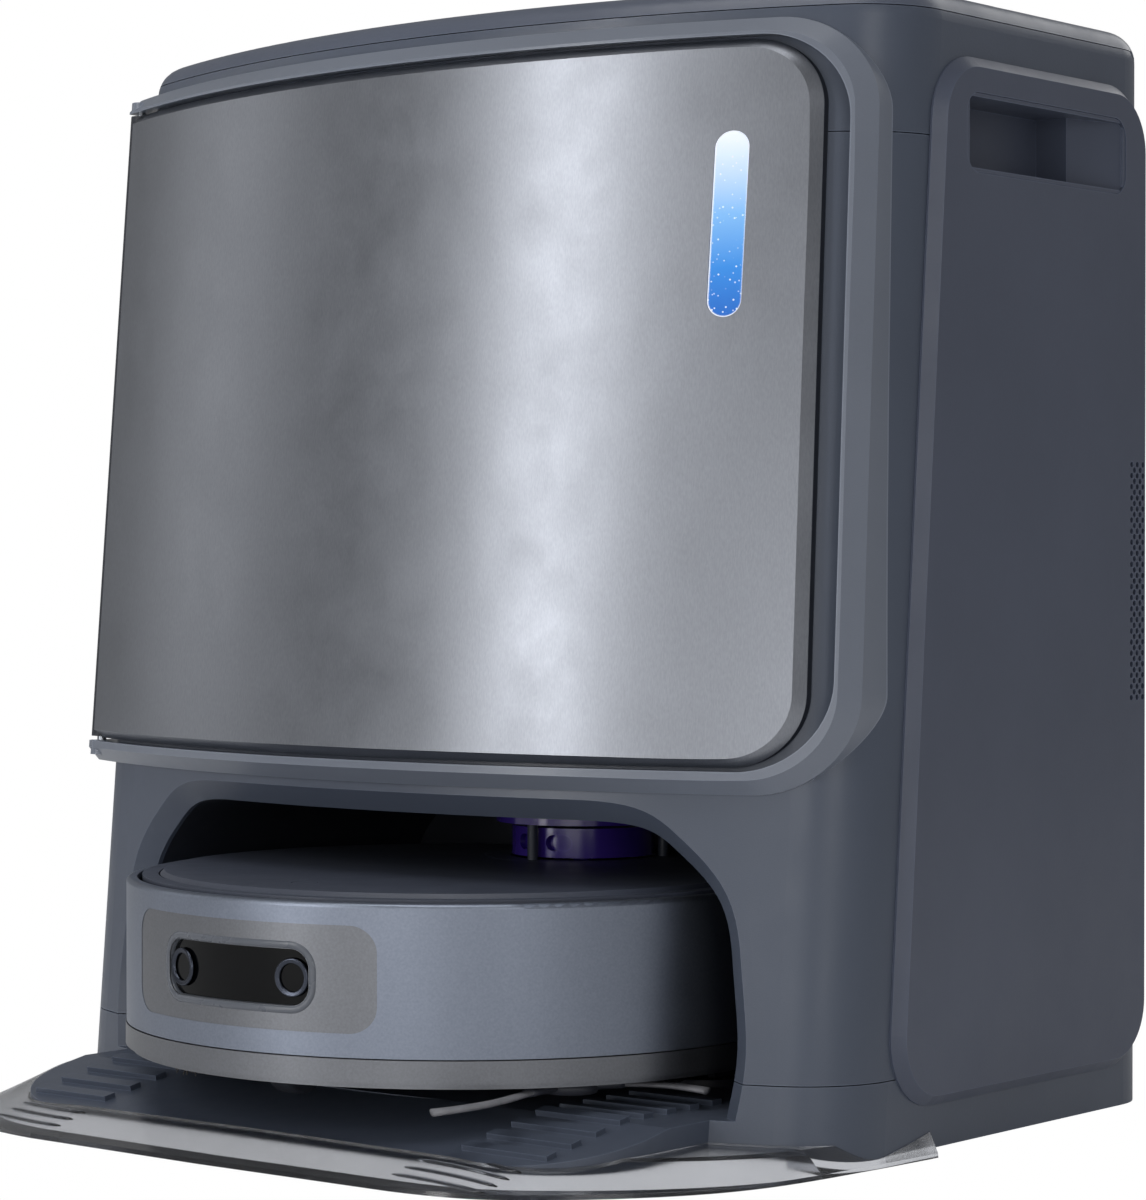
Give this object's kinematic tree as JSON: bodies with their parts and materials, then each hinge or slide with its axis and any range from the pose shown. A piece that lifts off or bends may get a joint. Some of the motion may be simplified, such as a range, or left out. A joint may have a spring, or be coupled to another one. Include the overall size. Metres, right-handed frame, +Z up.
{
  "type": "robot vacuum with dock",
  "caption": "Round robot vacuum and mop parked in a tall cleaning dock with a bowed metal door, hinged lid, water tanks, side hand holes and a clear ribbed ramp",
  "frame": {"origin": "centre of the whole object's footprint box, on the floor under the feet", "axes": "+Z up, +Y towards the dock's back, so the robot drives out along -Y, +X to the right seen from the front"},
  "size_m": [0.494, 0.432, 0.529],
  "materials": {
    "shell_plastic": "moulded grey-blue plastic, satin",
    "dark_plastic": "moulded dark plastic, matt",
    "door_metal": "brushed satin metal",
    "frame_plastic": "satin silver-grey plastic",
    "robot_shell": "satin grey plastic",
    "robot_lid_plastic": "matt dark plastic",
    "turret_plastic": "glossy dark plastic",
    "glass_black": "glossy black window",
    "light_lens": "translucent light bar",
    "clear_plate": "clear smoked plastic",
    "tank_plastic": "translucent smoked plastic",
    "rubber": "matt rubber",
    "steel": "bright steel",
    "contact_metal": "plated contacts",
    "bag_paper": "non-woven filter paper",
    "mop_fabric": "short pile fabric",
    "bristle": "nylon bristle",
    "brush_rubber": "flexible light strip",
    "board_green": "circuit board laminate"
  },
  "bodies": {
    "dock": {"base_tray": "shell_plastic", "ramp_plate": "clear_plate", "housing": "shell_plastic", "rear_cover": "shell_plastic", "top_frame": "shell_plastic", "handle_cups": "dark_plastic", "bay_liner": "dark_plastic", "inner_frame": "dark_plastic", "bezel": "frame_plastic", "hinge_pins": "steel", "dust_bag": "bag_paper", "suction_fan": "dark_plastic", "water_pumps": "dark_plastic", "dryer": "dark_plastic", "control_board": "board_green", "power_inlet": "dark_plastic", "washboard": "dark_plastic", "rubber_feet": "rubber", "case_screws": "steel", "side_panel_left": "shell_plastic", "side_panel_right": "shell_plastic"},
    "door": {"door_skin": "door_metal", "door_frame": "dark_plastic", "light_lens": "light_lens"},
    "lid": {"lid": "frame_plastic"},
    "clean_tank": {"clean_tank": "tank_plastic", "clean_tank_lid": "dark_plastic"},
    "clean_handle": {"clean_tank_handle": "frame_plastic"},
    "dirty_tank": {"dirty_tank": "tank_plastic", "dirty_tank_lid": "dark_plastic"},
    "dirty_handle": {"dirty_tank_handle": "frame_plastic"},
    "dock_contacts": {"dock_contacts": "contact_metal"},
    "robot": {"chassis": "robot_shell", "rear_shell": "robot_shell", "robot_deck": "robot_lid_plastic", "battery": "dark_plastic", "main_board": "board_green", "robot_contacts": "contact_metal"},
    "bumper": {"bumper": "robot_shell", "sensor_panel": "robot_shell", "sensor_window": "glass_black", "sensor_lenses": "glass_black"},
    "robot_lid": {"robot_lid": "robot_lid_plastic"},
    "power_button": {"power_button": "robot_lid_plastic"},
    "turret_head": {"turret_head": "turret_plastic"},
    "turret_cap": {"turret_cap": "turret_plastic"},
    "side_brush_left": {"side_brush_left": "bristle"},
    "side_brush_right": {"side_brush_right": "brush_rubber"},
    "main_brush": {"main_brush": "rubber"},
    "caster_fork": {"caster_fork": "dark_plastic"},
    "caster_wheel": {"caster_wheel": "rubber"},
    "wheel_arm_left": {"wheel_arm_left": "dark_plastic"},
    "wheel_arm_right": {"wheel_arm_right": "dark_plastic"},
    "drive_wheel_left": {"drive_wheel_left": "rubber"},
    "drive_wheel_right": {"drive_wheel_right": "rubber"},
    "mop_left": {"mop_plate_left": "dark_plastic", "mop_pad_left": "mop_fabric"},
    "mop_right": {"mop_plate_right": "dark_plastic", "mop_pad_right": "mop_fabric"},
    "dust_bin": {"dust_bin": "dark_plastic"}
  },
  "joints": [
    {"name": "door_hinge", "type": "hinge", "parent": "dock", "child": "door", "pos_m": [-0.236, -0.03402, 0.34], "axis": [0, -0.0896, -0.996], "range_deg": [0, 105]},
    {"name": "lid_hinge", "type": "hinge", "parent": "dock", "child": "lid", "pos_m": [0, 0.194, 0.5225], "axis": [-1, 0, 0], "range_deg": [0, 85]},
    {"name": "clean_tank_lift", "type": "slide", "parent": "dock", "child": "clean_tank", "axis": [0, 0, 1], "range_m": [0, 0.05]},
    {"name": "dirty_tank_lift", "type": "slide", "parent": "dock", "child": "dirty_tank", "axis": [0, 0, 1], "range_m": [0, 0.05]},
    {"name": "clean_handle_fold", "type": "hinge", "parent": "clean_tank", "child": "clean_handle", "pos_m": [-0.106, 0.07, 0.438], "axis": [1, 0, 0], "range_deg": [0, 90]},
    {"name": "dirty_handle_fold", "type": "hinge", "parent": "dirty_tank", "child": "dirty_handle", "pos_m": [0.106, 0.07, 0.438], "axis": [1, 0, 0], "range_deg": [0, 90]},
    {"name": "dock_contact_press", "type": "slide", "parent": "dock", "child": "dock_contacts", "axis": [0, 1, 0], "range_m": [0, 0.0015], "stiffness_N_per_m": 800},
    {"name": "robot_drive_out", "type": "slide", "parent": "dock", "child": "robot", "axis": [0, -1, 0], "range_m": [0, 0.35]},
    {"name": "bumper_press", "type": "slide", "parent": "robot", "child": "bumper", "axis": [0, 1, 0], "range_m": [0, 0.002], "stiffness_N_per_m": 900},
    {"name": "robot_lid_lift", "type": "slide", "parent": "robot", "child": "robot_lid", "axis": [0, 0, 1], "range_m": [0, 0.012]},
    {"name": "power_button_press", "type": "slide", "parent": "robot", "child": "power_button", "axis": [0, 0, -1], "range_m": [0, 0.0015], "stiffness_N_per_m": 500},
    {"name": "turret_spin", "type": "hinge", "parent": "robot", "child": "turret_head", "pos_m": [0, 0.06, 0.13], "axis": [0, 0, 1], "continuous": true},
    {"name": "turret_cap_press", "type": "slide", "parent": "robot", "child": "turret_cap", "axis": [0, 0, -1], "range_m": [0, 0.0012], "stiffness_N_per_m": 1500},
    {"name": "side_brush_left_spin", "type": "hinge", "parent": "robot", "child": "side_brush_left", "pos_m": [-0.12, -0.1, 0.041], "axis": [0, 0, 1], "continuous": true},
    {"name": "side_brush_right_spin", "type": "hinge", "parent": "robot", "child": "side_brush_right", "pos_m": [0.12, -0.1, 0.041], "axis": [0, 0, 1], "continuous": true},
    {"name": "main_brush_spin", "type": "hinge", "parent": "robot", "child": "main_brush", "pos_m": [0, -0.032, 0.047], "axis": [1, 0, 0], "continuous": true},
    {"name": "caster_swivel", "type": "hinge", "parent": "robot", "child": "caster_fork", "pos_m": [0, -0.152, 0.062], "axis": [0, 0, 1], "continuous": true},
    {"name": "caster_roll", "type": "hinge", "parent": "caster_fork", "child": "caster_wheel", "pos_m": [0, -0.152, 0.0373], "axis": [1, 0, 0], "continuous": true},
    {"name": "wheel_arm_left_swing", "type": "hinge", "parent": "robot", "child": "wheel_arm_left", "pos_m": [-0.0915, 0.034, 0.062], "axis": [-1, 0, 0], "range_deg": [0, 8], "stiffness_Nm_per_rad": 4},
    {"name": "drive_wheel_left_roll", "type": "hinge", "parent": "wheel_arm_left", "child": "drive_wheel_left", "pos_m": [-0.105, -0.014, 0.0543], "axis": [1, 0, 0], "continuous": true},
    {"name": "mop_left_spin", "type": "hinge", "parent": "robot", "child": "mop_left", "pos_m": [-0.06, 0.052, 0.045], "axis": [0, 0, 1], "continuous": true},
    {"name": "wheel_arm_right_swing", "type": "hinge", "parent": "robot", "child": "wheel_arm_right", "pos_m": [0.0915, 0.034, 0.062], "axis": [-1, 0, 0], "range_deg": [0, 8], "stiffness_Nm_per_rad": 4},
    {"name": "drive_wheel_right_roll", "type": "hinge", "parent": "wheel_arm_right", "child": "drive_wheel_right", "pos_m": [0.105, -0.014, 0.0543], "axis": [1, 0, 0], "continuous": true},
    {"name": "mop_right_spin", "type": "hinge", "parent": "robot", "child": "mop_right", "pos_m": [0.06, 0.052, 0.045], "axis": [0, 0, 1], "continuous": true},
    {"name": "dust_bin_lift", "type": "slide", "parent": "robot", "child": "dust_bin", "axis": [0, 0, 1], "range_m": [0, 0.006]}
  ],
  "couplings": [
    {"joint": "mop_left_spin", "follows": "mop_right_spin", "ratio": -1}
  ]
}
